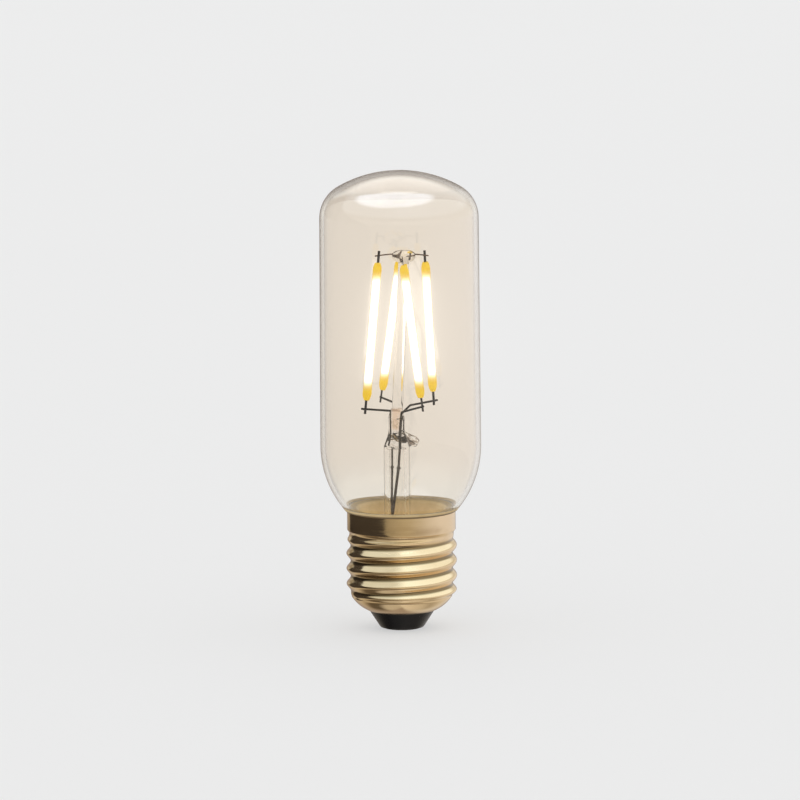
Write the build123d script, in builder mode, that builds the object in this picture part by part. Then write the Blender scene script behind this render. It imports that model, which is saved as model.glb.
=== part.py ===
from build123d import *
import os
from math import cos, pi, radians, sin, sqrt, tan

# Clear tubular lamp with four straight light-emitting filaments on an E27 screw cap.
# Frame: millimetres, +Z up, cap down. The origin is on the lamp's axis, at the underside
# of the centre contact. The front is -Y.

# Cap: brass shell with a rolled round thread, black glass insulator, centre contact
pitch = 3.629
thread_mean_radius = 12.6
thread_depth_half = 0.5
crest_height_right = 12.54
thread_bottom = 7.6
thread_top = 22.9
thread_root_top = 12.35
fade_in = 1.7
fade_out = 2.6
sections_per_turn = 10
bore_radius = 11.7
skirt_radius = 12.85
skirt_wall = 0.4
skirt_bottom = 23.4
cap_rim = 28.0
bowl_centre_radius, bowl_centre_height = 4.74, 12.27
bowl_radius = 8.55
shell_edge_radius = 7.75
insulator_top = 6.6
insulator_foot_radius = 5.15
insulator_foot = 0.3
contact_radius = 4.6
contact_thickness = 0.7
contact_face_radius = 4.2
wire_hole_radius = 0.45

# Glass envelope
wall = 1.1
apex = 108.9
crown_radius = 29.3
shoulder_radius = 8.4
top_radius = 18.75
base_radius = 19.0
curve_start = 43.7
curve_radius = 23.7
lip_radius = 1.0
inner_lip_radius = 1.5
neck_radius = 11.3
neck_bottom = 16.5
neck_lead_in = 1.0
inner_step_height = 29.0
inner_step = 1.0
cement_inset = 1.5

# Stem: flared tube, press, exhaust tube and mount rod
stem_x = -0.95
tube_radius = 3.1
tube_wall = 1.35
flare_start = 26.2
flare_radius = 6.0
flare_turn = 60
flare_reach = 12.0
press_bottom = 43.2
press_waist = 46.6
press_top = 51.0
press_turn = -50
shoulder_length, shoulder_thickness = 5.7, 5.0
press_length = 5.0
press_thickness = 2.5
exhaust_x, exhaust_y = -0.25, 0.55
exhaust_radius = 0.8
exhaust_bore = 0.5
exhaust_tip = 19.6
tip_length = 2.8
tip_wall = 1.2
tip_blunt = 0.2
vent_height = 45.3
vent_reach = 3.5
vent_radius = 1.1
vent_bore = 0.4
vent_taper = -8
rod_radius = 1.3
rod_foot_x = -0.85
rod_head_x = 1.06
button_bottom = 87.3
button_top = 90.1
button_radius = 2.85
button_edge = 0.9
button_edge_height = 0.75
button_crown = 0.15

# Wires
lead_radius = 0.25
lead_bend = 0.6
outer_lead_radius = 0.3
outer_lead_bend = 2.0
top_wire_radius = 0.16
weld_height = 38.45
weld_radius = 0.45
arm_overhang = 0.9
side_wire_height = 88.75
side_wire_rise = 0.5
cross_wire_height = 88.1
cross_wire_rise = 0.15
top_ring_x = 0.58
top_ring_radius = 5.42

# Filaments
coat_radius = 1.05
coat_end_radius = 0.45
coat_taper_top = 2.1
coat_taper_foot = 2.5
coat_top = 87.2
strip_width = 0.9
strip_thickness = 0.35
strip_inset = 1.6
tab_width = 0.6
tab_thickness = 0.18
tab_bite = 0.04
tab_overlap = 1.0
tab_reach_top = 1.1
tab_reach_foot = 1.15

# Driver in the cap
board_bottom = 13.0
board_thickness = 1.0
capacitor_radius, capacitor_height = 2.5, 5.4
capacitor_x, capacitor_y = 5.2, 4.2
capacitor_chamfer = 0.4
rectifier_size = (4.8, 3.9, 1.6)
rectifier_x, rectifier_y = -5.4, 4.4
chip_size = (5.0, 3.9, 1.5)
chip_x, chip_y = 6.6, -3.2
leg_size = (1.0, 0.45, 0.25)
resistor_radius, resistor_bottom, resistor_top = 1.25, 8.1, 11.9
resistor_lead_radius = 0.3
shell_wire_y = 9.2
shell_wire_drop = 2.4
shell_wire_bend = 0.8
shell_wire_radius = 0.3

board_top = board_bottom + board_thickness
os.makedirs("parts", exist_ok=True)


def save(part, name):
    """Label a finished piece and write it as its own node."""
    part.label = name
    export_step(part, f"parts/{name}.step")


def bent_wire(route, bend, radius):
    """Round wire along straight runs joined by tangent arcs."""
    with BuildPart() as wire:
        with BuildLine() as path:
            FilletPolyline(*route, radius=bend)
        with BuildSketch(Plane(origin=path.line @ 0, z_dir=path.line % 0)):
            Circle(radius)
        sweep(path=path.line)
    return wire.part


# Screw shell. A level cut through a round thread is very nearly a circle set off the axis,
# so the thread is a loft of such circles, each turned a little further round the axis.
def thread_share(height):
    """Depth of the thread, from 0 where it fades out to 1 along its full turns."""
    rise = min(1, (height - thread_bottom) / fade_in, (thread_top - height) / fade_out)
    return (1 - cos(pi * max(0, rise))) / 2


bowl_top_radius = bowl_centre_radius + sqrt(bowl_radius**2 - (bowl_centre_height - thread_bottom) ** 2)
section_count = round((thread_top - thread_bottom) / pitch * sections_per_turn)
with BuildPart() as thread:
    for step in range(section_count + 1):
        height = thread_bottom + (thread_top - thread_bottom) * step / section_count
        share = thread_share(height)
        end_radius = bowl_top_radius if step < section_count / 2 else thread_root_top
        turn = 2 * pi * (height - crest_height_right) / pitch
        shift = thread_depth_half * share
        with BuildSketch(Plane((shift * cos(turn), shift * sin(turn), height))):
            Circle(end_radius + (thread_mean_radius - end_radius) * share)
    loft()

bowl_edge = Vector(shell_edge_radius, bowl_centre_height - sqrt(
    bowl_radius**2 - (shell_edge_radius - bowl_centre_radius) ** 2))
inner_bowl_radius = bowl_radius - skirt_wall
inner_bowl_start = bowl_centre_height - sqrt(
    inner_bowl_radius**2 - (shell_edge_radius - bowl_centre_radius) ** 2)
inner_bowl_end = bowl_centre_height - sqrt(
    inner_bowl_radius**2 - (bore_radius - bowl_centre_radius) ** 2)
bowl_bulge = radians(-50)
bowl_middle = (bowl_centre_radius + bowl_radius * cos(bowl_bulge),
               bowl_centre_height + bowl_radius * sin(bowl_bulge))
inner_bowl_middle = (bowl_centre_radius + inner_bowl_radius * cos(bowl_bulge),
                     bowl_centre_height + inner_bowl_radius * sin(bowl_bulge))
with BuildPart() as screw_shell:
    add(thread.part)
    with BuildSketch(Plane.XZ):
        with BuildLine():
            Polyline((0, thread_bottom), (0, bowl_edge.Y), (shell_edge_radius, bowl_edge.Y))
            ThreePointArc((shell_edge_radius, bowl_edge.Y), bowl_middle,
                          (bowl_top_radius, thread_bottom))
            Line((bowl_top_radius, thread_bottom), (0, thread_bottom))
        make_face()
        with BuildLine():
            FilletPolyline((0, thread_top), (thread_root_top, thread_top),
                           (skirt_radius - 0.1, skirt_bottom - 0.1), (skirt_radius, skirt_bottom + 0.5),
                           (skirt_radius, cap_rim), (0, cap_rim), radius=0.12, close=True)
        make_face()
    revolve(axis=Axis.Z)
    with BuildSketch(Plane.XZ):
        with BuildLine():
            Polyline((shell_edge_radius, inner_bowl_start), (0, inner_bowl_start), (0, cap_rim),
                     (skirt_radius - skirt_wall, cap_rim),
                     (skirt_radius - skirt_wall, skirt_bottom),
                     (bore_radius, skirt_bottom), (bore_radius, inner_bowl_end))
            ThreePointArc((bore_radius, inner_bowl_end), inner_bowl_middle,
                          (shell_edge_radius, inner_bowl_start))
        make_face()
        with Locations((shell_edge_radius / 2, (bowl_edge.Y + inner_bowl_start) / 2)):
            Rectangle(shell_edge_radius, inner_bowl_start - bowl_edge.Y)
    revolve(axis=Axis.Z, mode=Mode.SUBTRACT)
save(screw_shell.part, "screw_shell")


# Black glass insulator, from inside the bowl down to the tapered foot
with BuildPart() as insulator:
    with BuildSketch(Plane.XZ):
        with BuildLine():
            flange_radius = bowl_centre_radius + sqrt(
                inner_bowl_radius**2 - (bowl_centre_height - insulator_top) ** 2)
            flange_middle_height = (inner_bowl_start + insulator_top) / 2
            flange_middle_radius = bowl_centre_radius + sqrt(
                inner_bowl_radius**2 - (bowl_centre_height - flange_middle_height) ** 2)
            Polyline((flange_radius, insulator_top), (wire_hole_radius, insulator_top),
                     (wire_hole_radius, contact_thickness), (contact_radius, contact_thickness),
                     (contact_radius, insulator_foot / 2), (insulator_foot_radius, insulator_foot),
                     (insulator_foot_radius + 0.35, insulator_foot + 0.45),
                     (shell_edge_radius, bowl_edge.Y), (shell_edge_radius, inner_bowl_start))
            ThreePointArc((shell_edge_radius, inner_bowl_start),
                          (flange_middle_radius, flange_middle_height),
                          (flange_radius, insulator_top))
        make_face()
    revolve(axis=Axis.Z)
save(insulator.part, "insulator")

# Centre contact, a pressed disc with a rounded rim
with BuildPart() as centre_contact:
    with BuildSketch(Plane.XZ):
        with BuildLine():
            Polyline((contact_face_radius, 0), (0, 0), (0, contact_thickness),
                     (contact_radius, contact_thickness), (contact_radius, insulator_foot / 2))
            TangentArc((contact_face_radius, 0), (contact_radius, insulator_foot / 2), tangent=(1, 0))
        make_face()
    revolve(axis=Axis.Z)
save(centre_contact.part, "centre_contact")

# Glass envelope. Its outer outline is five tangent arcs and a slightly tapered side.
crown_centre = apex - crown_radius
shoulder_centre = (top_radius - shoulder_radius, crown_centre + sqrt(
    (crown_radius - shoulder_radius) ** 2 - (top_radius - shoulder_radius) ** 2))
curve_centre = (base_radius - curve_radius, curve_start)


def on_arc(centre, radius, degrees):
    """Point of an arc at an angle above the horizontal."""
    return (centre[0] + radius * cos(radians(degrees)), centre[1] + radius * sin(radians(degrees)))


def lip_centre(big_radius, small_radius, seat):
    """Centre of the lip's arc, tangent to the lower curve and to a level line at seat."""
    reach = sqrt((big_radius - small_radius) ** 2 - (curve_centre[1] - seat - small_radius) ** 2)
    return (curve_centre[0] + reach, seat + small_radius)


def towards(centre, far, radius):
    """Point of the arc about centre on the line that runs on through far."""
    line = (Vector(*far) - Vector(*centre)).normalized()
    return (centre[0] + radius * line.X, centre[1] + radius * line.Y)


shoulder_turn = 60.3
lip = lip_centre(curve_radius, lip_radius, cap_rim)
lip_start = towards(curve_centre, lip, curve_radius)
inner_curve = curve_radius - wall
inner_lip = lip_centre(inner_curve, inner_lip_radius, inner_step_height)
inner_lip_start = towards(curve_centre, inner_lip, inner_curve)
neck_inner = neck_radius - wall
with BuildPart() as glass_envelope:
    with BuildSketch(Plane.XZ):
        with BuildLine():
            crown_end = towards((0, crown_centre), shoulder_centre, crown_radius)
            ThreePointArc((0, apex), on_arc((0, crown_centre), crown_radius, 75), crown_end)
            ThreePointArc(crown_end, on_arc(shoulder_centre, shoulder_radius, shoulder_turn / 2),
                          (top_radius, shoulder_centre[1]))
            Line((top_radius, shoulder_centre[1]), (base_radius, curve_start))
            ThreePointArc((base_radius, curve_start), on_arc(curve_centre, curve_radius, -20), lip_start)
            ThreePointArc(lip_start, on_arc(lip, lip_radius, -65), (lip[0], cap_rim))
            Line((lip[0], cap_rim), (neck_radius + neck_lead_in, cap_rim))
            Polyline((neck_radius + neck_lead_in, cap_rim), (neck_radius, cap_rim - neck_lead_in),
                     (neck_radius, neck_bottom), (neck_inner, neck_bottom),
                     (neck_inner, inner_step_height - inner_step),
                     (neck_inner + inner_step, inner_step_height), (inner_lip[0], inner_step_height))
            ThreePointArc((inner_lip[0], inner_step_height), on_arc(inner_lip, inner_lip_radius, -65),
                          inner_lip_start)
            ThreePointArc(inner_lip_start, on_arc(curve_centre, inner_curve, -20),
                          (base_radius - wall, curve_start))
            Line((base_radius - wall, curve_start), (top_radius - wall, shoulder_centre[1]))
            inner_crown = towards((0, crown_centre), shoulder_centre, crown_radius - wall)
            ThreePointArc((top_radius - wall, shoulder_centre[1]),
                          on_arc(shoulder_centre, shoulder_radius - wall, shoulder_turn / 2), inner_crown)
            ThreePointArc(inner_crown, on_arc((0, crown_centre), crown_radius - wall, 75),
                          (0, apex - wall))
            Line((0, apex - wall), (0, apex))
        make_face()
    revolve(axis=Axis.Z)
save(glass_envelope.part, "glass_envelope")

# Cement between neck and skirt
with BuildPart() as cement_ring:
    with BuildSketch(Plane.XZ):
        with BuildLine():
            Polyline((neck_radius, neck_bottom + cement_inset), (bore_radius, neck_bottom + cement_inset),
                     (bore_radius, skirt_bottom), (skirt_radius - skirt_wall, skirt_bottom),
                     (skirt_radius - skirt_wall, cap_rim - cement_inset), (neck_radius, cap_rim - cement_inset),
                     close=True)
        make_face()
    revolve(axis=Axis.Z)
save(cement_ring.part, "cement_ring")

# Wires that stand in the glass come first, because the glass is cut round them
left_weld = (-2.15, 0.45, weld_height)
right_weld = (-0.6, -1.15, weld_height)
outer_leads = {
    "left": [(-2.2, 0.3, board_top), (-2.3, 0.25, 30.6), left_weld],
    "right": [(-2.0, -0.9, board_top), (-2.0, -0.9, 27), right_weld],
}

# Where each filament's foot tab crosses its arm, and how high its coat ends
feet = {
    "left": (Vector(-8.4, -4.5, 53.05), 55.1),
    "front": (Vector(4.85, -8.15, 53.95), 56.1),
    "right": (Vector(8.15, 5.3, 53.55), 55.9),
    "back": (Vector(-4.4, 8.2, 53.95), 55.9),
}
tops = {"left": 180, "front": 270, "right": 0, "back": 90}


def arm_end(start, foot):
    """Tip of an arm, a little past the tab that it carries."""
    return foot + (foot - Vector(*start)).normalized() * arm_overhang


left_bend = Vector(-2.1, 1.2, 51.75)
right_bend = Vector(0.2, -1.3, 51.75)
back_bend = Vector(-1.3, 2.2, 53.5)
right_branch_bend = Vector(2.3, 0.25, 53.2)
inner_leads = {
    "left": [left_weld, left_bend, arm_end(left_bend, feet["left"][0])],
    "right": [right_weld, right_bend, arm_end(right_bend, feet["front"][0])],
}
leads = {}
for side in ("left", "right"):
    leads[side] = bent_wire(inner_leads[side], lead_bend, lead_radius)
    save(leads[side], f"inner_lead_{side}")
    bare = bent_wire(outer_leads[side], outer_lead_bend, outer_lead_radius)
    with BuildPart() as outer_lead:
        add(bare)
        with Locations(outer_leads[side][-1]):
            Sphere(weld_radius)
        add(leads[side], mode=Mode.SUBTRACT)
    save(outer_lead.part, f"outer_lead_{side}")

branches = {
    "back": ("left", [(-2.1, 1.2, 51.4), back_bend, arm_end(back_bend, feet["back"][0])]),
    "right": ("right", [(0.2, -1.3, 51.4), right_branch_bend,
                        arm_end(right_branch_bend, feet["right"][0])]),
}
arms = {"left": leads["left"], "front": leads["right"]}
for name, (side, route) in branches.items():
    whole = bent_wire(route, lead_bend, lead_radius)
    with BuildPart() as branch:
        add(whole)
        add(leads[side], mode=Mode.SUBTRACT)
    kept = branch.solids().sort_by(SortBy.VOLUME)[-1]
    arms[name] = kept
    save(kept, f"branch_wire_{name}")

# Top wires, both through the glass button: one from side to side, one from front to back
side_reach = top_ring_radius + arm_overhang


def top_wire(direction, centre, height, rise):
    """Thin wire in a shallow arch that is highest in the middle of the button."""
    ends = [centre + direction * reach + Vector(0, 0, height) for reach in (-side_reach, side_reach)]
    with BuildPart() as wire:
        with BuildLine() as path:
            ThreePointArc(ends[0], centre + Vector(0, 0, height + rise), ends[1])
        with BuildSketch(Plane(origin=path.line @ 0, z_dir=path.line % 0)):
            Circle(top_wire_radius)
        sweep(path=path.line)
    return wire.part


side_wire = top_wire(Vector(1, 0, 0), Vector(top_ring_x, 0, 0), side_wire_height, side_wire_rise)
cross_wire = top_wire(Vector(0, 1, 0), Vector(top_ring_x, 0, 0), cross_wire_height, cross_wire_rise)
arch_share = 1 - (top_ring_radius / side_reach) ** 2
save(side_wire, "top_wire_side")
save(cross_wire, "top_wire_cross")

# Glass mount rod with its button round the top wires
with BuildPart() as mount_rod:
    with BuildSketch(Plane((rod_head_x, 0, 0), x_dir=(1, 0, 0), z_dir=(0, -1, 0))):
        with BuildLine():
            Polyline((0, button_bottom), (button_radius - button_edge, button_bottom),
                     (button_radius, button_bottom + button_edge_height),
                     (button_radius, button_top - button_crown - button_edge_height),
                     (button_radius - button_edge, button_top - button_crown), (0, button_top), close=True)
        make_face()
    revolve(axis=Axis((rod_head_x, 0, 0), (0, 0, 1)))
    add([side_wire, cross_wire], mode=Mode.SUBTRACT)
    for height, centre_x in ((press_top, rod_foot_x), (button_bottom + 0.2, rod_head_x)):
        with BuildSketch(Plane((centre_x, 0, height))):
            Circle(rod_radius)
    loft(ruled=True)
save(mount_rod.part, "mount_rod")

# Exhaust tube, drawn shut at its lower tip and open into the press
with BuildPart() as exhaust_tube:
    with BuildSketch(Plane((exhaust_x, exhaust_y, 0), x_dir=(1, 0, 0), z_dir=(0, -1, 0))):
        with BuildLine():
            tip_top = exhaust_tip + tip_length
            Line((0, exhaust_tip), (0, exhaust_tip + tip_wall))
            Line((0, exhaust_tip + tip_wall), (exhaust_bore, tip_top + tip_wall))
            Polyline((exhaust_bore, tip_top + tip_wall), (exhaust_bore, press_bottom),
                     (exhaust_radius, press_bottom), (exhaust_radius, tip_top))
            ThreePointArc((exhaust_radius, tip_top), (0.8 * exhaust_radius, exhaust_tip + 0.4 * tip_length),
                          (tip_blunt, exhaust_tip))
            Line((tip_blunt, exhaust_tip), (0, exhaust_tip))
        make_face()
    revolve(axis=Axis((exhaust_x, exhaust_y, 0), (0, 0, 1)))
save(exhaust_tube.part, "exhaust_tube")


# Stem. Below, the tube spreads out to the neck. Above, it is pressed flat round the leads.
stem_axis = Axis((stem_x, 0, 0), (0, 0, 1))
flare_centre = (tube_radius + flare_radius, flare_start)
flare_lines = []
for radius in (flare_radius, flare_radius + tube_wall):
    bend_end = on_arc(flare_centre, radius, 180 + flare_turn)
    fall = (flare_reach - bend_end[0]) / tan(radians(flare_turn))
    flare_lines.append((on_arc(flare_centre, radius, 180), on_arc(flare_centre, radius, 180 + flare_turn / 2),
                        bend_end, (flare_reach, bend_end[1] - fall)))
outer_flare, inner_flare = flare_lines
vent = Plane((exhaust_x, exhaust_y, vent_height), x_dir=(0, 1, 0), z_dir=(1, 0, 0))
with BuildPart() as stem_flare:
    with BuildSketch(Plane((stem_x, 0, 0), x_dir=(1, 0, 0), z_dir=(0, -1, 0))):
        with BuildLine():
            Line((tube_radius, press_bottom), outer_flare[0])
            ThreePointArc(*outer_flare[:3])
            Polyline(outer_flare[2], outer_flare[3], inner_flare[3], inner_flare[2])
            ThreePointArc(*reversed(inner_flare[:3]))
            Polyline(inner_flare[0], (tube_radius - tube_wall, press_bottom), (tube_radius, press_bottom))
        make_face()
    revolve(axis=stem_axis)
    with BuildSketch(Plane((0, 0, neck_bottom))):
        Circle(neck_inner)
    extrude(amount=press_bottom - neck_bottom, mode=Mode.INTERSECT)
    for height, length, thickness in ((press_bottom, shoulder_length, shoulder_thickness),
                                      (press_waist, press_length, press_thickness)):
        with BuildSketch(Plane((stem_x, 0, height))):
            SlotOverall(length, thickness, rotation=press_turn)
    loft(ruled=True)
    with BuildSketch(Plane((stem_x, 0, press_waist))):
        SlotOverall(press_length, press_thickness, rotation=press_turn)
    extrude(amount=press_top - press_waist)
    with BuildSketch(vent):
        Circle(vent_radius)
    extrude(amount=vent_reach, taper=vent_taper)
    with BuildSketch(vent):
        Circle(vent_bore)
    extrude(amount=vent_reach, mode=Mode.SUBTRACT)
    with BuildSketch(Plane((exhaust_x, exhaust_y, press_bottom))):
        Circle(exhaust_bore)
    extrude(amount=vent_height - press_bottom + vent_bore, mode=Mode.SUBTRACT)
    add(list(leads.values()), mode=Mode.SUBTRACT)
save(stem_flare.part, "stem_flare")


# Filaments: a ceramic strip under a yellow coat, held by a thin metal tab at each end
def tab_plane(crossing, run, along, wire_radius):
    """Frame of a tab that lies against the side of the wire that it crosses."""
    width = (run - along * run.dot(along)).normalized()
    face = along.cross(width)
    seat = crossing + face * (wire_radius + tab_thickness / 2 - tab_bite)
    return Plane(seat, x_dir=width, z_dir=along)


def tab(plane, low, high, wire):
    """Flat tab from low to high along its filament, cut to the wire that it is welded to."""
    with BuildPart() as strip:
        with BuildSketch(plane.offset(low)):
            Rectangle(tab_width, tab_thickness)
        extrude(amount=high - low)
        add(wire, mode=Mode.SUBTRACT)
    return strip.part


for name, degrees in tops.items():
    foot, coat_foot = feet[name]
    if name in ("left", "right"):
        top_wire, top_height = side_wire, side_wire_height + side_wire_rise * arch_share
    else:
        top_wire, top_height = cross_wire, cross_wire_height + cross_wire_rise * arch_share
    outward = Vector(cos(radians(degrees)), sin(radians(degrees)), 0)
    head = Vector(top_ring_x, 0, top_height) + outward * top_ring_radius
    start = {"left": left_bend, "front": right_bend, "right": right_branch_bend, "back": back_bend}[name]
    along = (head - foot).normalized()
    foot_plane = tab_plane(foot, (foot - start).normalized(), along, lead_radius)
    head_plane = tab_plane(head, outward, along, top_wire_radius)
    along = (head_plane.origin - foot_plane.origin).normalized()
    foot_plane = Plane(foot_plane.origin, x_dir=foot_plane.x_dir, z_dir=along)
    head_plane = Plane(head_plane.origin, x_dir=head_plane.x_dir, z_dir=along)
    low = (coat_foot - foot_plane.origin.Z) / along.Z
    high = (coat_top - foot_plane.origin.Z) / along.Z
    head_low = (coat_top - head_plane.origin.Z) / along.Z
    foot_tab = tab(foot_plane, -tab_reach_foot, low + tab_overlap, arms[name])
    head_tab = tab(head_plane, head_low - tab_overlap, tab_reach_top, top_wire)
    with BuildPart() as strip:
        with BuildSketch(head_plane.offset(head_low - tab_overlap)):
            Rectangle(strip_width, strip_thickness)
        extrude(amount=-(high - low - 2 * tab_overlap))
    with BuildPart() as coat:
        with BuildSketch(Plane(foot_plane.origin, x_dir=foot_plane.x_dir, z_dir=-foot_plane.y_dir)):
            with BuildLine():
                Line((0, low), (coat_end_radius, low))
                ThreePointArc((coat_end_radius, low),
                              (coat_radius * 0.82, low + coat_taper_foot * 0.45),
                              (coat_radius, low + coat_taper_foot))
                Line((coat_radius, low + coat_taper_foot), (coat_radius, high - coat_taper_top))
                ThreePointArc((coat_radius, high - coat_taper_top),
                              (coat_radius * 0.82, high - coat_taper_top * 0.45), (coat_end_radius, high))
                Polyline((coat_end_radius, high), (0, high), (0, low))
            make_face()
        revolve(axis=Axis(foot_plane.origin, along))
        for piece in (foot_tab, head_tab, strip.part):
            add(piece, mode=Mode.SUBTRACT)
    save(foot_tab, f"filament_{name}_foot_tab")
    save(head_tab, f"filament_{name}_head_tab")
    save(strip.part, f"filament_{name}_strip")
    save(coat.part, f"filament_{name}_coat")

# Driver board, pressed into the bore of the shell, with its parts soldered on
with BuildPart() as driver_board:
    with BuildSketch(Plane((0, 0, board_bottom))):
        Circle(bore_radius)
    extrude(amount=board_thickness)
save(driver_board.part, "driver_board")

with BuildPart() as capacitor:
    with BuildSketch(Plane((capacitor_x, capacitor_y, board_bottom - capacitor_height))):
        Circle(capacitor_radius)
    extrude(amount=capacitor_height)
    chamfer(capacitor.faces().sort_by(Axis.Z)[0].edges(), length=capacitor_chamfer)
save(capacitor.part, "electrolytic_capacitor")


def moulded_chip(size, base, rows, spacing, upward):
    """Moulded body with a row of flat legs on two sides, standing on the board."""
    length, depth, height = size
    leg_length, leg_width, leg_height = leg_size
    side = 1 if upward else -1
    plane = Plane(base, z_dir=(0, 0, side))
    with BuildPart() as chip:
        with BuildSketch(plane):
            Rectangle(length, depth)
        extrude(amount=height)
        with BuildSketch(plane):
            with GridLocations(spacing, depth + leg_length, rows, 2):
                Rectangle(leg_width, leg_length)
        extrude(amount=leg_height)
    return chip.part


save(moulded_chip(rectifier_size, (rectifier_x, rectifier_y, board_bottom), 2, 2.5, False),
     "bridge_rectifier")
save(moulded_chip(chip_size, (chip_x, chip_y, board_top), 4, 1.27, True), "driver_chip")

with BuildPart() as fuse_resistor:
    with BuildSketch(Plane((0, 0, contact_thickness))):
        Circle(resistor_lead_radius)
    extrude(amount=board_bottom - contact_thickness)
    with BuildSketch(Plane((0, 0, resistor_bottom))):
        Circle(resistor_radius)
    extrude(amount=resistor_top - resistor_bottom)
save(fuse_resistor.part, "fuse_resistor")

save(bent_wire([(0, -shell_wire_y, board_bottom), (0, -shell_wire_y, board_bottom - shell_wire_drop),
                (0, -bore_radius, board_bottom - shell_wire_drop)], shell_wire_bend, shell_wire_radius),
     "shell_wire")
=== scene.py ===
from math import atan2, cos, degrees, pi, radians, sin, sqrt, tan

import bmesh
import bpy
from mathutils import Matrix, Vector


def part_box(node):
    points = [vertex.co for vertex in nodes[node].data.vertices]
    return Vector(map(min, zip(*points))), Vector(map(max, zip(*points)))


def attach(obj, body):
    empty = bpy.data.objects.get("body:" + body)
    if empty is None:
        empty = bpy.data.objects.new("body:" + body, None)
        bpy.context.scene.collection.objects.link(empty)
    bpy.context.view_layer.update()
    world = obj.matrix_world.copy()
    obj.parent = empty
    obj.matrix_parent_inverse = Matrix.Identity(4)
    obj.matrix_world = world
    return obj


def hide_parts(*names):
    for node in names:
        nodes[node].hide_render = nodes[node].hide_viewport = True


# The lamp stands upright on a pale floor, lit, and seen from the front, a little from above.
# Sizes are in millimetres here and become metres in the meshes.
MM = 0.001
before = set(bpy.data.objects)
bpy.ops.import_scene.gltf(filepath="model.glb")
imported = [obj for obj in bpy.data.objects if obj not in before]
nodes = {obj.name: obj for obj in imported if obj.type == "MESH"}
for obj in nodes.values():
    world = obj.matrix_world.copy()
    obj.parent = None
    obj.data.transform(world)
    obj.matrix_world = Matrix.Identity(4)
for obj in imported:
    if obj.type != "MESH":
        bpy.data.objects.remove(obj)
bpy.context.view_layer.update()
bpy.context.scene.view_settings.view_transform = "Standard"


def box_of(node):
    """Lowest and highest corner of a CAD node, in millimetres."""
    low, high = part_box(node)
    return Vector(low) / MM, Vector(high) / MM


# Camera: fitted to the photograph, whose frame is 800 by 800 pixels
frame_pixels = 800
focal_pixels = 6350
camera_distance = 1500
camera_elevation = 8.0
camera_roll = -0.46
target_height = 54.45
target_shift_pixels = 0.4
sensor_width = 36.0


def make_camera():
    """Camera at the photograph's viewing angle."""
    data = bpy.data.cameras.new("camera")
    data.sensor_width = sensor_width
    data.sensor_fit = "HORIZONTAL"
    data.lens = focal_pixels / frame_pixels * sensor_width
    data.shift_x = -target_shift_pixels / frame_pixels
    data.clip_end = 100
    camera = bpy.data.objects.new("camera", data)
    bpy.context.scene.collection.objects.link(camera)
    lift = radians(camera_elevation)
    place = Vector((0, -camera_distance * cos(lift), target_height + camera_distance * sin(lift))) * MM
    turn = Matrix.Rotation(pi / 2 - lift, 4, "X") @ Matrix.Rotation(radians(camera_roll), 4, "Z")
    camera.matrix_world = Matrix.Translation(place) @ turn
    bpy.context.scene.camera = camera


make_camera()


# Node helpers
class Nodes:
    """A material or world that is built node by node."""

    def __init__(self, owner):
        """Start with an empty tree."""
        owner.use_nodes = True
        self.tree = owner.node_tree
        self.tree.nodes.clear()

    def feed(self, socket, value):
        """Link an output to a socket, or give the socket a number or colour."""
        if isinstance(value, bpy.types.NodeSocket):
            self.tree.links.new(value, socket)
        elif isinstance(value, tuple) and len(value) == 3 and socket.type == "RGBA":
            socket.default_value = (*value, 1)
        else:
            socket.default_value = value

    def add(self, kind, **sockets):
        """New node. Each socket is named with _ for space."""
        node = self.tree.nodes.new(kind)
        for key, value in sockets.items():
            self.feed(node.inputs[key.replace("_", " ")], value)
        return node

    def maths(self, operation, *values):
        """Output of a maths node."""
        node = self.tree.nodes.new("ShaderNodeMath")
        node.operation = operation
        for socket, value in zip(node.inputs, values):
            self.feed(socket, value)
        return node.outputs[0]

    def times(self, first, second):
        """Product of two values."""
        return self.maths("MULTIPLY", first, second)

    def ramp(self, value, low, high, to_low=0.0, to_high=1.0):
        """Smooth step of a value from one range to another."""
        node = self.add("ShaderNodeMapRange", Value=value, From_Min=low, From_Max=high,
                        To_Min=to_low, To_Max=to_high)
        node.interpolation_type = "SMOOTHSTEP"
        return node.outputs["Result"]

    def band(self, value, low, high, soft):
        """1 between low and high and 0 outside, with soft edges."""
        rise = self.ramp(value, low - soft, low + soft)
        fall = self.ramp(value, high - soft, high + soft, 1.0, 0.0)
        return self.times(rise, fall)

    def mix(self, share, first, second):
        """Blend of two colours."""
        node = self.tree.nodes.new("ShaderNodeMix")
        node.data_type = "RGBA"
        for socket, value in ((0, share), (6, first), (7, second)):
            self.feed(node.inputs[socket], value)
        return node.outputs[2]

    def stops(self, value, *colours):
        """Colour from a run of (position, colour) stops."""
        node = self.add("ShaderNodeValToRGB", Fac=value)
        run = node.color_ramp.elements
        while len(run) < len(colours):
            run.new(0.5)
        for element, (position, colour) in zip(run, colours):
            element.position = position
            element.color = (*colour, 1)
        return node.outputs[0]

    def place(self):
        """Object coordinates, in metres, and their X, Y and Z."""
        whole = self.add("ShaderNodeTexCoord").outputs["Object"]
        return whole, self.add("ShaderNodeSeparateXYZ", Vector=whole).outputs

    def reach(self):
        """Distance from the lamp's axis, in metres."""
        across, depth, height = self.place()[1]
        return self.maths("SQRT", self.maths("ADD", self.times(across, across), self.times(depth, depth)))

    def noise(self, scale, stretch=(1, 1, 1), detail=3.0):
        """Noise in object space, stretched along each axis."""
        mapped = self.add("ShaderNodeMapping", Vector=self.place()[0], Scale=stretch).outputs["Vector"]
        return self.add("ShaderNodeTexNoise", Vector=mapped, Scale=scale, Detail=detail).outputs[0]

    def bump(self, height, strength, distance):
        """Normal from a height."""
        return self.add("ShaderNodeBump", Height=height, Strength=strength, Distance=distance).outputs[0]


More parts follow.
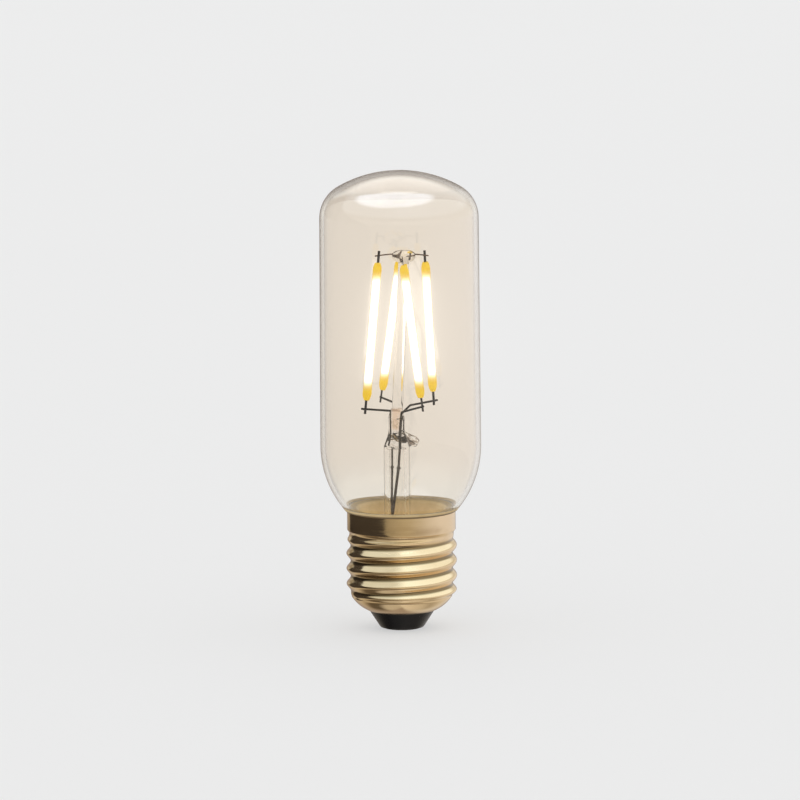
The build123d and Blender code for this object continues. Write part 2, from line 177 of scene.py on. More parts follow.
def surface(name, **sockets):
    """New material with one Principled shader. Returns the material, its nodes and the shader."""
    material = bpy.data.materials.new(name)
    n = Nodes(material)
    shader = n.add("ShaderNodeBsdfPrincipled", **sockets)
    n.add("ShaderNodeOutputMaterial", Surface=shader.outputs[0])
    return material, n, shader


# World: plain and pale for what is seen directly. Reflections see a studio: dark on the left,
# bright on the right, grey behind the lamp. The smooth glass also sees a light box overhead.
# A tier is its height, from 0 straight down to 1 straight up, and its colour. In what follows,
# azimuth is the angle to the right of the camera, in degrees, and up runs from -1 to 1.
pale = (0.84, 0.84, 0.84)
dark_side = (0.055, 0.046, 0.040)
shaded_front = (0.16, 0.13, 0.09)
behind_low, behind_high = (0.40, 0.34, 0.30), (0.17, 0.135, 0.11)
behind_right, behind_top = (0.75, 0.72, 0.68), (2.0, 1.98, 1.92)
box_edge, box_middle = (1.5, 1.55, 1.62), (4.6, 5.2, 6.0)
seen_through_glass = 0.28
front_tiers = (
    (0.0, (0.80, 0.74, 0.66)), (0.03, (0.80, 0.74, 0.66)), (0.06, (0.10, 0.08, 0.06)),
    (0.12, (0.12, 0.09, 0.07)), (0.19, (0.72, 0.62, 0.48)), (0.275, (0.98, 0.90, 0.78)),
    (0.35, (0.85, 0.77, 0.66)), (0.40, (0.50, 0.44, 0.33)), (0.46, (0.50, 0.44, 0.33)),
    (0.51, (1.04, 1.01, 0.90)), (0.56, (1.04, 1.01, 0.90)), (0.61, (0.48, 0.44, 0.33)),
    (0.65, (0.48, 0.44, 0.33)), (0.71, (1.24, 1.38, 1.46)),
)
right_tiers = (
    (0.0, (0.80, 0.74, 0.66)), (0.09, (0.45, 0.40, 0.33)), (0.2, (0.72, 0.66, 0.58)),
    (0.40, (0.83, 0.80, 0.83)), (0.48, (0.83, 0.80, 0.83)), (0.54, (0.92, 0.90, 0.84)),
    (0.62, (0.66, 0.62, 0.54)), (0.7, (1.14, 1.22, 1.24)),
)


def front_studio(n, azimuth, up):
    """Tiers of light in front and on the right, darker towards a dark screen on the left."""
    tier = n.maths("MULTIPLY_ADD", up, 0.5, 0.5)
    colour = n.mix(n.ramp(azimuth, 5.0, 95.0), n.stops(tier, *front_tiers), n.stops(tier, *right_tiers))
    colour = n.mix(n.ramp(azimuth, -36.0, 12.0, 0.35, 0.0), colour, shaded_front)
    slanted = n.maths("MULTIPLY_ADD", n.maths("ADD", up, 0.14), 110.0, azimuth)
    screen = n.times(n.ramp(slanted, -39.0, -35.5, 1.0, 0.0), n.ramp(azimuth, -144.5, -141.5))
    screen = n.times(screen, n.times(n.ramp(up, -0.56, -0.42), n.ramp(up, 0.6, 0.74, 1.0, 0.0)))
    return n.mix(screen, colour, dark_side)


def back_studio(n, azimuth, up):
    """Grey wall behind the lamp, lighter on the right and bright at its top."""
    backdrop = n.mix(n.ramp(up, 0.0, 0.3), behind_low, behind_high)
    backdrop = n.mix(n.band(azimuth, 100.0, 166.0, 10.0), backdrop, behind_right)
    return n.mix(n.ramp(up, 0.42, 0.62), backdrop, behind_top)


def make_world():
    """Studio that gives the brass and glass their reflections."""
    world = bpy.data.worlds.new("studio")
    bpy.context.scene.world = world
    n = Nodes(world)
    rays = n.add("ShaderNodeLightPath").outputs
    way = n.add("ShaderNodeSeparateXYZ", Vector=n.add("ShaderNodeTexCoord").outputs["Generated"])
    across, depth, up = way.outputs
    azimuth = n.times(n.maths("ARCTAN2", across, n.times(depth, -1.0)), 180 / pi)
    back = n.ramp(n.maths("ABSOLUTE", azimuth), 140.0, 168.0)
    colour = n.mix(back, front_studio(n, azimuth, up), back_studio(n, azimuth, up))
    box = n.mix(n.ramp(depth, -0.60, -0.50), box_edge, box_middle)
    overhead = n.times(n.ramp(n.maths("MULTIPLY_ADD", across, -0.08, up), 0.78, 0.88),
                       n.ramp(depth, 0.38, 0.47, 1.0, 0.0))
    colour = n.mix(n.times(overhead, rays["Is Singular Ray"]), colour, box)
    through = n.maths("MULTIPLY_ADD", rays["Is Transmission Ray"], seen_through_glass - 1, 1.0)
    studio = n.times(rays["Is Glossy Ray"], through)
    light = n.add("ShaderNodeBackground", Color=n.mix(studio, pale, colour))
    n.add("ShaderNodeOutputWorld", Surface=light.outputs[0])


make_world()


# Floor: half its side in metres, and how strongly it glows
floor_half = 12.0
floor_glow = 0.61


def make_floor():
    """Large pale floor, which fills the photograph's frame."""
    corners = [(floor_half * x, floor_half * y, 0) for x, y in ((-1, -1), (1, -1), (1, 1), (-1, 1))]
    mesh = bpy.data.meshes.new("floor")
    mesh.from_pydata(corners, [], [(0, 1, 2, 3)])
    floor = bpy.data.objects.new("floor", mesh)
    bpy.context.scene.collection.objects.link(floor)
    material, n, shader = surface("floor_paint", Roughness=0.9, Emission_Color=pale,
                                  Emission_Strength=floor_glow)
    n.feed(shader.inputs["Base Color"], n.mix(n.noise(3.0), (0.335, 0.335, 0.335), (0.345, 0.345, 0.345)))
    floor.data.materials.append(material)
    floor.visible_glossy = False


make_floor()


# Materials
def in_metres(sizes):
    """Sizes in millimetres as metres."""
    return [size * MM for size in sizes]


def blown_glass(name, ripple, ripple_scale, **sockets):
    """Clear glass with slow ripples from blowing. Returns what its tints depend on as well."""
    material, n, shader = surface(name, IOR=1.5, Transmission_Weight=1.0, Roughness=0.0, **sockets)
    n.feed(shader.inputs["Normal"], n.bump(n.noise(ripple_scale, (1, 1, 0.15), 1.0), 1.0, ripple * MM))
    facing = n.add("ShaderNodeLayerWeight", Blend=0.5).outputs["Facing"]
    return material, n, shader, facing, n.place()[1]


# Where each tint starts and ends: heights, and distances from the axis
film_heights = (29.04, 29.22)
rim_heights = (28.3, 28.65)
rim_reach = (11.2, 11.6)
painted_glow_reach = (10.4, 11.0)
painted_edge_heights = (30.5, 34.0)
painted_pale_heights = (31.0, 42.0)
amber_heights = (47.4, 52.5)
amber_across = (-1.9, 0.0)
vent_blotch_heights = (43.4, 47.2)
vent_blotch_across = (-0.4, 1.2)
olive_heights = (47.8, 49.6)
seam_heights = (51.9, 52.3)
button_heights = (86.0, 87.0)
skirt_band_heights = (23.9, 25.4)
valley_shade_heights = (9.0, 22.4)
valley_shade_reach = (12.13, 12.36)


def envelope_glass():
    """Warm clear glass, with painted shade making it grey where seen edge-on and painted light making it
    paler low down. Its neck carries a golden film of cement, which glows with painted light.
    """
    material, n, shader, facing, spot = blown_glass("clear_envelope_glass", 0.05, 60.0,
                                                    Specular_IOR_Level=0.32)
    height = spot[2]
    reach = n.reach()
    film = n.ramp(height, *in_metres(film_heights), 1.0, 0.0)
    rim = n.times(n.ramp(height, *in_metres(rim_heights), 1.0, 0.0), n.ramp(reach, *in_metres(rim_reach)))
    # Painted shade: the glass turns grey where it is seen edge-on, standing in for dark reflections.
    edge = n.times(n.ramp(facing, 0.72, 1.0), n.ramp(height, *in_metres(painted_edge_heights)))
    # Painted light: the glass is paler low down, standing in for reflections there.
    low = n.ramp(height, *in_metres(painted_pale_heights), 1.0, 0.0)
    clear = n.mix(low, (0.970, 0.916, 0.846), (0.985, 0.955, 0.90))
    colour = n.mix(edge, clear, (0.42, 0.39, 0.36))
    golden = n.mix(n.ramp(n.noise(160.0), 0.35, 0.65), (0.62, 0.48, 0.26), (0.50, 0.37, 0.18))
    golden = n.mix(rim, golden, (0.16, 0.11, 0.06))
    # Painted light: the neck's film glows, standing in for light that the lamp sends through the glass.
    glow = n.times(film, n.ramp(reach, *in_metres(painted_glow_reach), 0.47, 0.16))
    n.feed(shader.inputs["Base Color"], n.mix(film, colour, golden))
    n.feed(shader.inputs["Roughness"], n.times(film, 0.5))
    n.feed(shader.inputs["Transmission Weight"], n.maths("MULTIPLY_ADD", film, -0.85, 1.0))
    n.feed(shader.inputs["Emission Color"], golden)
    n.feed(shader.inputs["Emission Strength"], glow)
    return material


def stem_glass():
    """Clear glass, amber between the sealed leads, darker in blotches round the vent and warm in the
    button. Painted shade makes it near-black where seen edge-on and the button browner there.
    """
    material, n, shader, facing, spot = blown_glass(
        "clear_stem_glass", 0.02, 400.0, Specular_IOR_Level=0.34, Specular_Tint=(1.0, 0.86, 0.72))
    across, depth, height = spot
    amber = n.times(n.band(height, *in_metres(amber_heights), 0.4 * MM),
                    n.band(across, *in_metres(amber_across), 0.2 * MM))
    # Darker blotches round the vent.
    vent_blotch = n.times(n.band(height, *in_metres(vent_blotch_heights), 0.4 * MM),
                   n.ramp(n.noise(750.0, (1, 1, 1.4), 2.0), 0.50, 0.57))
    vent_blotch = n.times(vent_blotch, n.ramp(across, *in_metres(vent_blotch_across), 0.35, 0.9))
    olive = n.times(n.band(height, *in_metres(olive_heights), 0.5 * MM),
                    n.ramp(n.noise(900.0, (1, 1, 0.6), 2.0), 0.40, 0.60))
    sealed = n.mix(olive, (0.96, 0.79, 0.66), (0.66, 0.52, 0.37))
    seam = n.band(height, *in_metres(seam_heights), 0.12 * MM)
    sealed = n.mix(seam, sealed, (0.45, 0.31, 0.22))
    # Painted shade: near-black where the stem glass is seen edge-on, standing in for dark reflections.
    colour = n.mix(n.ramp(facing, 0.42, 0.93), (0.98, 0.97, 0.955), (0.05, 0.038, 0.03))
    colour = n.mix(amber, colour, sealed)
    colour = n.mix(vent_blotch, colour, (0.22, 0.17, 0.14))
    # Painted shade: the button is browner where it is seen edge-on.
    button = n.mix(n.ramp(facing, 0.7, 1.0), (0.99, 0.95, 0.88), (0.72, 0.58, 0.44))
    colour = n.mix(n.ramp(height, *in_metres(button_heights)), colour, button)
    n.feed(shader.inputs["Base Color"], colour)
    return material


def metal(name, light, dark, roughness, scale, stretch=(1, 1, 1), relief=0.02):
    """Bare metal with uneven tarnish and fine drawing or rolling marks."""
    material, n, shader = surface(name, Metallic=1.0)
    patches = n.noise(scale, stretch, 4.0)
    n.feed(shader.inputs["Base Color"], n.mix(n.ramp(patches, 0.35, 0.7), light, dark))
    n.feed(shader.inputs["Roughness"], n.ramp(patches, 0.3, 0.75, roughness, roughness * 1.7))
    n.feed(shader.inputs["Normal"], n.bump(n.noise(scale * 6, stretch, 5.0), 0.5, relief * MM))
    return material


def matt(name, light, dark, roughness, scale, stretch=(1, 1, 1), relief=0.03, **sockets):
    """Dull material with mottled colour and a fine grain."""
    material, n, shader = surface(name, Roughness=roughness, **sockets)
    n.feed(shader.inputs["Base Color"], n.mix(n.ramp(n.noise(scale, stretch), 0.3, 0.7), light, dark))
    n.feed(shader.inputs["Normal"], n.bump(n.noise(scale * 5, stretch, 4.0), 0.6, relief * MM))
    return material


def brass_material():
    """Plated brass: fine lines round the shell, a little tarnish, a darker mottled band low on the skirt,
    and painted shade in the thread's valleys.
    """
    material, n, shader = surface("rolled_brass", Metallic=1.0)
    height = n.place()[1][2]
    tarnish = n.ramp(n.noise(90.0, (1, 1, 1.6), 4.0), 0.42, 0.72, 0.0, 0.55)
    # A darker mottled band low on the skirt.
    patches = n.times(n.band(height, *in_metres(skirt_band_heights), 1.1 * MM),
                    n.ramp(n.noise(110.0, (1, 1, 1.2), 4.0), 0.45, 0.7, 0.0, 0.6))
    # Painted shade: the thread's valleys are darkened as if shaded by the crests.
    valley_shade = n.times(n.ramp(n.reach(), *in_metres(valley_shade_reach), 0.78, 0.0),
                    n.band(height, *in_metres(valley_shade_heights), 0.5 * MM))
    colour = n.mix(tarnish, (0.86, 0.68, 0.43), (0.70, 0.52, 0.30))
    colour = n.mix(valley_shade, colour, (0.15, 0.112, 0.048))
    n.feed(shader.inputs["Base Color"], n.mix(patches, colour, (0.50, 0.36, 0.20)))
    lines = n.noise(55.0, (0.4, 0.4, 60.0), 5.0)
    n.feed(shader.inputs["Roughness"], n.ramp(lines, 0.25, 0.8, 0.09, 0.19))
    n.feed(shader.inputs["Normal"], n.bump(lines, 0.35, 0.012 * MM))
    return material


unlit_foot_share = 0.115
unlit_head_share = 0.102


def phosphor_material():
    """Silicone with phosphor, white-hot along the lit length and yellow at the unlit ends."""
    material, n, shader = surface("lit_phosphor", Roughness=0.5)
    whole = n.add("ShaderNodeTexCoord").outputs["Generated"]
    share = n.add("ShaderNodeSeparateXYZ", Vector=whole).outputs[2]
    grain = n.noise(1800.0, (1, 1, 1), 4.0)
    wobble = n.maths("ADD", share, n.times(n.maths("SUBTRACT", grain, 0.5), 0.012))
    lit = n.band(wobble, unlit_foot_share, 1 - unlit_head_share, 0.05)
    yellow = n.mix(n.ramp(grain, 0.3, 0.7), (0.95, 0.70, 0.015), (0.88, 0.58, 0.008))
    n.feed(shader.inputs["Base Color"], n.mix(lit, yellow, (0.50, 0.45, 0.34)))
    facing = n.add("ShaderNodeLayerWeight", Blend=0.5).outputs["Facing"]
    edge = n.ramp(facing, 0.14, 0.74)
    glow = n.mix(edge, (1.0, 0.98, 0.92), (1.0, 0.88, 0.64))
    n.feed(shader.inputs["Emission Color"], n.mix(lit, (0.95, 0.64, 0.0), glow))
    lit_strength = n.ramp(edge, 0.0, 1.0, 2.0, 0.55)
    n.feed(shader.inputs["Emission Strength"], n.mix(n.times(lit, lit), (0.42, 0.42, 0.42), lit_strength))
    n.feed(shader.inputs["Normal"], n.bump(grain, 0.5, 0.04 * MM))
    return material


materials = {
    "envelope": envelope_glass(),
    "stem": stem_glass(),
    "brass": brass_material(),
    # Painted shade: the brass contact is made near-black, as it lies in shade under the cap.
    "contact": metal("contact_in_painted_shade", (0.030, 0.026, 0.022), (0.016, 0.013, 0.011), 0.5, 300.0),
    "black": matt("black_glass", (0.006, 0.006, 0.007), (0.011, 0.010, 0.010), 0.24, 150.0, relief=0.02,
                  Specular_IOR_Level=0.16),
    # Painted light: the cement glows, standing in for the lamp's light that reaches it through the glass.
    "cement": matt("cap_cement_painted_glow", (0.55, 0.42, 0.22), (0.42, 0.30, 0.14), 0.85, 500.0,
                   Emission_Color=(0.50, 0.385, 0.20), Emission_Strength=1.0),
    "lead": metal("oxidised_lead", (0.016, 0.010, 0.008), (0.008, 0.005, 0.004), 0.42, 500.0, (1, 1, 0.1)),
    "nickel": metal("drawn_nickel", (0.022, 0.015, 0.011), (0.011, 0.007, 0.005), 0.36, 600.0, (1, 1, 0.1)),
    "copper": metal("dark_copper", (0.020, 0.011, 0.008), (0.010, 0.006, 0.005), 0.4, 500.0, (1, 1, 0.1)),
    "fine_wire": metal("browned_wire", (0.17, 0.10, 0.06), (0.09, 0.05, 0.03), 0.38, 600.0,
                       (1, 1, 0.1)),
    "tab": metal("welded_tab", (0.022, 0.015, 0.012), (0.011, 0.008, 0.006), 0.42, 700.0),
    "phosphor": phosphor_material(),
    "ceramic": matt("strip_ceramic", (0.85, 0.83, 0.78), (0.74, 0.71, 0.65), 0.5, 900.0),
    # Painted light: the board glows, standing in for the lamp's light that reaches it.
    "board": matt("board_laminate", (0.55, 0.36, 0.14), (0.42, 0.25, 0.09), 0.55, 350.0, (8, 1, 1),
                  Emission_Color=(0.50, 0.33, 0.14), Emission_Strength=0.5),
    "moulded": matt("moulded_black", (0.02, 0.02, 0.021), (0.034, 0.033, 0.032), 0.55, 1200.0),
    "can": metal("capacitor_can", (0.75, 0.75, 0.76), (0.6, 0.6, 0.62), 0.28, 250.0, (1, 1, 8)),
    "resistor": matt("resistor_coat", (0.30, 0.42, 0.36), (0.20, 0.31, 0.27), 0.5, 600.0),
}
node_materials = {
    "inner_lead": "lead", "outer_lead": "copper", "branch_wire": "nickel", "top_wire": "fine_wire",
    "shell_wire": "copper", "cement_ring": "cement", "exhaust_tube": "stem", "stem_flare": "stem",
    "mount_rod": "stem", "driver_board": "board", "driver_chip": "moulded", "bridge_rectifier": "moulded",
    "electrolytic_capacitor": "can", "fuse_resistor": "resistor", "centre_contact": "contact",
    "insulator": "black", "screw_shell": "brass", "glass_envelope": "envelope",
}


def paint_nodes():
    """Give every CAD node its material."""
    for name, node in nodes.items():
        if name.startswith("filament"):
            key = {"coat": "phosphor", "strip": "ceramic", "tab": "tab"}[name.rsplit("_", 1)[1]]
        else:
            key = next(key for start, key in node_materials.items() if name.startswith(start))
        node.data.materials.clear()
        node.data.materials.append(materials[key])


paint_nodes()


# Mesh helpers
def arc(centre, radius, start, end, steps):
    """Points of an arc, with angles in degrees above the horizontal."""
    turns = [radians(start + (end - start) * i / steps) for i in range(steps + 1)]
    return [(centre[0] + radius * cos(a), centre[1] + radius * sin(a)) for a in turns]


def line(first, last, steps):
    """Points of a straight stretch, without its ends."""
    return [(first[0] + (last[0] - first[0]) * i / steps, first[1] + (last[1] - first[1]) * i / steps)
            for i in range(1, steps)]


def new_object(name, bm, sharp=40):
    """Object in metres from a bmesh in millimetres, smooth but for edges sharper than an angle."""
    bmesh.ops.recalc_face_normals(bm, faces=bm.faces)
    bmesh.ops.scale(bm, vec=(MM, MM, MM), verts=bm.verts)
    mesh = bpy.data.meshes.new(name)
    bm.to_mesh(mesh)
    bm.free()
    mesh.polygons.foreach_set("use_smooth", [True] * len(mesh.polygons))
    mesh.set_sharp_from_angle(angle=radians(sharp))
    made = bpy.data.objects.new(name, mesh)
    bpy.context.scene.collection.objects.link(made)
    return made


def skin(bm, rings, closed=False):
    """Faces between each ring of vertices and the next. A ring of one vertex is a pole."""
    pairs = list(zip(rings, rings[1:]))
    if closed:
        pairs.append((rings[-1], rings[0]))
    for low, high in pairs:
        count = max(len(low), len(high))
        for i in range(count):
            j = (i + 1) % count
            corners = (low[i % len(low)], low[j % len(low)], high[j % len(high)], high[i % len(high)])
            bm.faces.new(list(dict.fromkeys(corners)))


def turned(bm, profile, segments, closed=False, place=Matrix.Identity(4)):
    """Revolve a profile of (radius, height). Its point on the axis, if any, becomes a pole."""
    rings = []
    for radius, height in profile:
        count = segments if radius > 1e-6 else 1
        turns = [2 * pi * i / segments for i in range(count)]
        spots = [Vector((radius * cos(a), radius * sin(a), height)) for a in turns]
        rings.append([bm.verts.new(place @ spot) for spot in spots])
    skin(bm, rings, closed)


def dress(piece, material, slot, *replaced):
    """Give a piece its material and body, and hide the nodes that it stands for. Its slot is not used."""
    piece.data.materials.clear()
    piece.data.materials.append(materials[material])
    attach(piece, "root")
    if replaced:
        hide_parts(*replaced)


# Glass envelope: the same tangent arcs as its solid
wall = 1.1
envelope_low, envelope_high = box_of("glass_envelope")
apex = envelope_high.z
base_radius = envelope_high.x
neck_bottom = envelope_low.z
top_radius = 18.75
crown_radius = 29.3
shoulder_radius = 8.4
curve_start = 43.7
curve_radius = 23.7
lip_radius = 1.0
inner_lip_radius = 1.5
neck_radius = 11.3
neck_inner = neck_radius - wall
neck_lead_in = 1.0
cap_rim = box_of("screw_shell")[1].z
inner_step_height = 29.0
inner_step = 1.0
glass_segments = 192


def angle_to(centre, point):
    """Angle of a point seen from a centre, in degrees above the horizontal."""
    return degrees(atan2(point[1] - centre[1], point[0] - centre[0]))


def lip_centre(big_centre, big_radius, small_radius, seat):
    """Centre of an arc inside a bigger one and resting on a level line."""
    reach = sqrt((big_radius - small_radius) ** 2 - (big_centre[1] - seat - small_radius) ** 2)
    return (big_centre[0] + reach, seat + small_radius)


def envelope_side(inset, lip_size, seat):
    """Outer or inner outline from the apex down to the lip's seat."""
    crown = (0, apex - crown_radius)
    shoulder = (top_radius - shoulder_radius, crown[1] + sqrt(
        (crown_radius - shoulder_radius) ** 2 - (top_radius - shoulder_radius) ** 2))
    join = angle_to(crown, shoulder)
    curve = (base_radius - curve_radius, curve_start)
    lip = lip_centre(curve, curve_radius - inset, lip_size, seat)
    lip_join = angle_to(curve, lip)
    side = [(0, apex - inset)] + arc(crown, crown_radius - inset, 90, join, 24)[1:]
    side += arc(shoulder, shoulder_radius - inset, join, 0, 24)[1:]
    side += line(side[-1], (base_radius - inset, curve_start), 24)
    side += arc(curve, curve_radius - inset, 0, lip_join, 24)
    side += arc(lip, lip_size, lip_join, -90, 10)[1:]
    return side


def make_envelope():
    """Blown glass envelope with its neck, at full smoothness."""
    outer = envelope_side(0, lip_radius, cap_rim)
    inner = envelope_side(wall, inner_lip_radius, inner_step_height)
    outer += arc((neck_radius + neck_lead_in, cap_rim - neck_lead_in), neck_lead_in, 90, 180, 8)
    inner += arc((neck_inner + inner_step, inner_step_height - inner_step), inner_step, 90, 180, 8)
    profile = outer + [(neck_radius, neck_bottom), (neck_inner, neck_bottom)] + inner[::-1]
    bm = bmesh.new()
    turned(bm, profile, glass_segments)
    dress(new_object("envelope", bm), "envelope", "envelope_glass", "glass_envelope")


make_envelope()


# Screw shell: the outside follows the thread as its solid does. The inside follows it too,
# as pressed sheet does, where the solid has a plain bore.
pitch = 3.629
thread_mean_radius = 12.6
thread_depth_half = 0.5
crest_height_right = 12.54
thread_bottom = 7.6
thread_top = 22.9
thread_root_top = 12.35
fade_in = 1.7
fade_out = 2.6
skirt_radius = 12.85
skirt_bottom = 23.4
skirt_round = 0.12
bowl_centre = (4.74, 12.27)
bowl_radius = 8.55
shell_edge_radius = 7.75
sheet = 0.4
shell_segments = 160
thread_rows = 120


def thread_share(height):
    """Depth of the thread, from 0 where it fades out to 1 along its full turns."""
    rise = min(1, (height - thread_bottom) / fade_in, (thread_top - height) / fade_out)
    return (1 - cos(pi * max(0, rise))) / 2


def bowl_point(height, inset):
    """Point of the bowl below the thread."""
    return (bowl_centre[0] + sqrt((bowl_radius - inset) ** 2 - (bowl_centre[1] - height) ** 2), height)


def shell_rows(inset):
    """Rows of (radius, height, share of the thread) from the skirt's rim to the bowl's edge."""
    skirt = skirt_radius - inset
    rows = [(skirt, cap_rim, 0)]
    rows += [(skirt, h, 0) for _, h in line((0, cap_rim), (0, skirt_bottom + 0.5), 12)]
    rows += [(r, h, 0) for r, h in arc((skirt - skirt_round, skirt_bottom + 0.3), skirt_round, 0, -45, 4)]
    top_root = thread_root_top - inset
    rows += [(top_root + (skirt - skirt_round - top_root) * share,
              thread_top + (skirt_bottom + 0.2 - thread_top) * share, 0) for share in (0.85, 0.6, 0.3)]
    root_bottom = bowl_point(thread_bottom, 0)[0]
    for i in range(thread_rows + 1):
        height = thread_top + (thread_bottom - thread_top) * i / thread_rows
        share = thread_share(height)
        root = thread_root_top if i < thread_rows / 2 else root_bottom
        rows.append((root + (thread_mean_radius - root) * share - inset, height, share))
    low = bowl_centre[1] - sqrt((bowl_radius - inset) ** 2 - (shell_edge_radius - bowl_centre[0]) ** 2)
    start = angle_to(bowl_centre, bowl_point(thread_bottom, inset))
    end = angle_to(bowl_centre, (shell_edge_radius, low))
    rows += [(r, h, 0) for r, h in arc(bowl_centre, bowl_radius - inset, start, end, 16)[1:]]
    return rows


def make_shell():
    """Brass screw shell, rolled from thin sheet."""
    bm = bmesh.new()
    rings = []
    for radius, height, share in shell_rows(0) + shell_rows(sheet)[::-1]:
        crest = 2 * pi * (height - crest_height_right) / pitch
        ring = []
        for i in range(shell_segments):
            turn = 2 * pi * i / shell_segments
            reach = radius + thread_depth_half * share * cos(turn - crest)
            ring.append(bm.verts.new((reach * cos(turn), reach * sin(turn), height)))
        rings.append(ring)
    skin(bm, rings, closed=True)
    dress(new_object("threaded_shell", bm, 60), "brass", "cap_brass", "screw_shell")


make_shell()


# Filament coats: smooth spins along each filament, a little uneven as the silicone sets
coat_radius = 1.05
coat_end_radius = 0.62
coat_taper_head = 1.6
coat_taper_foot = 1.9
coat_segments = 40
coat_fullness = 0.9
coat_ripple = 0.02


def coat_axis(name):
    """Foot and head of a filament's axis, from the middle of its coat at each end."""
    vertices = [v.co / MM for v in nodes[f"filament_{name}_coat"].data.vertices]
    ends = []
    for level in (min(v.z for v in vertices), max(v.z for v in vertices)):
        rim = [v for v in vertices if abs(v.z - level) < 0.12]
        ends.append(sum(rim, Vector()) / len(rim))
    return ends


def coat_profile(length):
    """Radius and height of a coat that swells from each end."""
    def swell(reach, taper):
        """Radius at a reach from one end."""
        share = min(1, reach / taper)
        return coat_end_radius + (coat_radius - coat_end_radius) * sin(share * pi / 2) ** coat_fullness
    steps = 90
    heights = [length * (1 - cos(pi * i / steps)) / 2 for i in range(steps + 1)]
    radii = [min(swell(h, coat_taper_foot), swell(length - h, coat_taper_head)) for h in heights]
    return [(0, 0)] + list(zip(radii, heights)) + [(0, length)]


def make_coats():
    """Four phosphor coats."""
    for number, name in enumerate(("left", "front", "right", "back")):
        foot, head = coat_axis(name)
        along = head - foot
        bm = bmesh.new()
        turned(bm, coat_profile(along.length), coat_segments)
        for vertex in bm.verts:
            ripple = coat_ripple * sin(vertex.co.z * 1.3 + number) * sin(vertex.co.z * 0.37 + 2 * number)
            vertex.co.xy *= 1 + ripple
        turn = Matrix.Translation(foot) @ along.to_track_quat("Z", "Y").to_matrix().to_4x4()
        bmesh.ops.transform(bm, matrix=turn, verts=bm.verts)
        dress(new_object(f"filament_{name}_phosphor", bm, 50), "phosphor", "phosphor_coat",
              f"filament_{name}_coat")


make_coats()


# Glass stem: tube, press, vent, rod, button and exhaust tube melted into one
stem_x = -0.95
tube_radius = 3.1
tube_bore = 1.75
flare_start = 26.2
flare_radius = 6.0
flare_turn = 60
press_bottom = 43.2
press_waist = 46.6
press_top = 51.0
press_turn = -46
press_length, press_thickness = 4.8, 1.9
press_crest = 52.4
press_levels = (
    (press_bottom, 6.1, 6.0), (press_bottom + 1.0, 5.9, 5.0), (press_waist - 1.0, 5.2, 3.0),
    (press_waist, press_length, press_thickness), (press_top - 0.4, press_length, press_thickness),
    (press_top, press_length - 0.4, press_thickness - 0.3), (press_crest, 3.2, 1.6),
)
exhaust_x, exhaust_y = -0.25, 0.55
exhaust_radius, exhaust_bore = 0.8, 0.5
exhaust_tip = 19.6
vent_height = 46.3
vent_reach = 5.3
vent_tilt = 118
vent_radius, vent_bore = 1.1, 0.4
rod_radius = 1.3
rod_foot_x, rod_head_x = -0.85, 1.06
button_bottom, button_top = 87.3, 90.1
button_radius = 2.8
button_roundness = 0.45
stem_voxel = 0.17


def slot_ring(bm, length, thickness, height, count):
    """Ring of vertices on a level slot with round ends, turned as the press is."""
    straight = (length - thickness) / 2
    spin = Matrix.Rotation(radians(press_turn), 3, "Z")
    ring = []
    for i in range(count):
        a = 2 * pi * i / count
        spot = Vector((thickness / 2 * cos(a) + (straight if cos(a) > 0 else -straight),
                       thickness / 2 * sin(a), height))
        ring.append(bm.verts.new(Vector((stem_x, 0, 0)) + spin @ spot))
    return ring


def add_tube(bm):
    """Flared tube, cut off where it meets the neck."""
    reach = neck_inner + stem_x - 0.15
    sides = []
    for radius, bend in ((tube_radius, flare_radius), (tube_bore, flare_radius + tube_radius - tube_bore)):
        side = [(radius, press_bottom + 0.4)] + line((radius, press_bottom), (radius, flare_start), 12)
        side += arc((tube_radius + flare_radius, flare_start), bend, 180, 180 + flare_turn, 16)
        last = side[-1]
        sides.append(side + [(reach, last[1] - (reach - last[0]) / tan(radians(flare_turn)))])
    turned(bm, sides[0] + sides[1][::-1], 96, closed=True, place=Matrix.Translation((stem_x, 0, 0)))


def add_press(bm):
    """Press: the tube's top, squeezed flat round the leads."""
    rings = [slot_ring(bm, length, thick, height, 64) for height, length, thick in press_levels]
    rings.insert(0, [bm.verts.new((stem_x, 0, press_bottom))])
    rings.append([bm.verts.new((stem_x, 0, press_crest))])
    skin(bm, rings)


def add_rod(bm):
    """Mount rod, leaning from the press to the button."""
    foot = press_top - 1.0
    rod = Vector((rod_head_x - rod_foot_x, 0, button_bottom + 0.4 - foot))
    place = Matrix.Translation((rod_foot_x, 0, foot)) @ rod.to_track_quat("Z", "Y").to_matrix().to_4x4()
    sweep = [(rod_radius, h) for _, h in line((0, 0), (0, rod.length), 30)]
    profile = [(0, 0), (rod_radius, 0)] + sweep + [(rod_radius, rod.length), (0, rod.length)]
    turned(bm, profile, 64, place=place)


def add_button(bm):
    """Button that holds the top wires: a disc with a full round edge."""
    middle = (button_bottom + button_top) / 2
    half = (button_top - button_bottom) / 2
    lens = [(button_radius * max(0, cos(radians(a))) ** button_roundness, middle + half * sin(radians(a)))
            for a in range(-90, 91, 6)]
    lens[0], lens[-1] = (0, button_bottom), (0, button_top)
    turned(bm, lens, 64, place=Matrix.Translation((rod_head_x, 0, 0)))


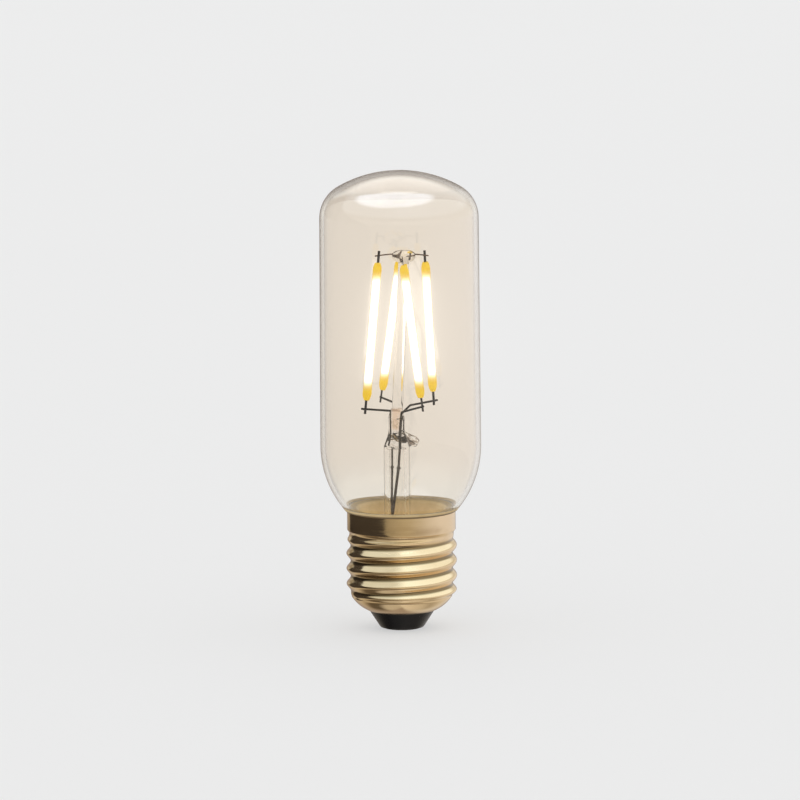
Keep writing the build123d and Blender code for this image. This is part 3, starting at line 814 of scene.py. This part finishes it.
def add_vent(bm):
    """Vent: a short blown spout, sloping down from the exhaust tube's axis."""
    aim = Matrix.Rotation(radians(vent_tilt), 4, "Y")
    end = vent_reach - 0.4
    profile = [(vent_bore, 0.3), (vent_radius, 0.3), (vent_radius * 1.15, vent_reach * 0.75),
               (vent_radius * 0.8, end), (vent_bore, end)]
    place = Matrix.Translation((exhaust_x, exhaust_y, vent_height)) @ aim
    turned(bm, profile, 48, closed=True, place=place)


def add_exhaust(bm):
    """Exhaust tube, drawn shut at its tip."""
    shut = exhaust_tip + 2.8
    top = press_bottom + 0.3
    outside = [(0, exhaust_tip), (0.45 * exhaust_radius, exhaust_tip + 0.3),
               (0.8 * exhaust_radius, exhaust_tip + 1.1), (exhaust_radius, shut), (exhaust_radius, top)]
    inside = [(exhaust_bore, top), (exhaust_bore, shut + 1.2), (0, exhaust_tip + 1.2)]
    turned(bm, outside + inside, 48, place=Matrix.Translation((exhaust_x, exhaust_y, 0)))


def make_stem():
    """Stem glass, melted together and smoothed as by the flame."""
    bm = bmesh.new()
    for add_solid in (add_tube, add_press, add_rod, add_button, add_vent, add_exhaust):
        add_solid(bm)
    piece = new_object("stem_glass", bm)
    melt = piece.modifiers.new("melt", "REMESH")
    melt.mode = "VOXEL"
    melt.voxel_size = stem_voxel * MM
    soften = piece.modifiers.new("soften", "SMOOTH")
    soften.factor = 0.5
    soften.iterations = 8
    mesh = bpy.data.meshes.new_from_object(piece.evaluated_get(bpy.context.evaluated_depsgraph_get()))
    piece.modifiers.clear()
    piece.data = mesh
    mesh.polygons.foreach_set("use_smooth", [True] * len(mesh.polygons))
    dress(piece, "stem", "stem_glass", "stem_flare", "mount_rod", "exhaust_tube")


make_stem()


bloom = {"Threshold": 1.0, "Strength": 0.8, "Size": 0.3, "Maximum": 2.0}


def make_bloom():
    """Soft light round whatever is brighter than white, as a lens gives."""
    scene = bpy.context.scene
    scene.use_nodes = True
    tree = scene.node_tree
    tree.nodes.clear()
    layers = tree.nodes.new("CompositorNodeRLayers")
    glare = tree.nodes.new("CompositorNodeGlare")
    glare.glare_type = "BLOOM"
    glare.quality = "HIGH"
    for name, value in bloom.items():
        glare.inputs[name].default_value = value
    out = tree.nodes.new("CompositorNodeComposite")
    tree.links.new(layers.outputs["Image"], glare.inputs["Image"])
    tree.links.new(glare.outputs["Image"], out.inputs["Image"])


make_bloom()
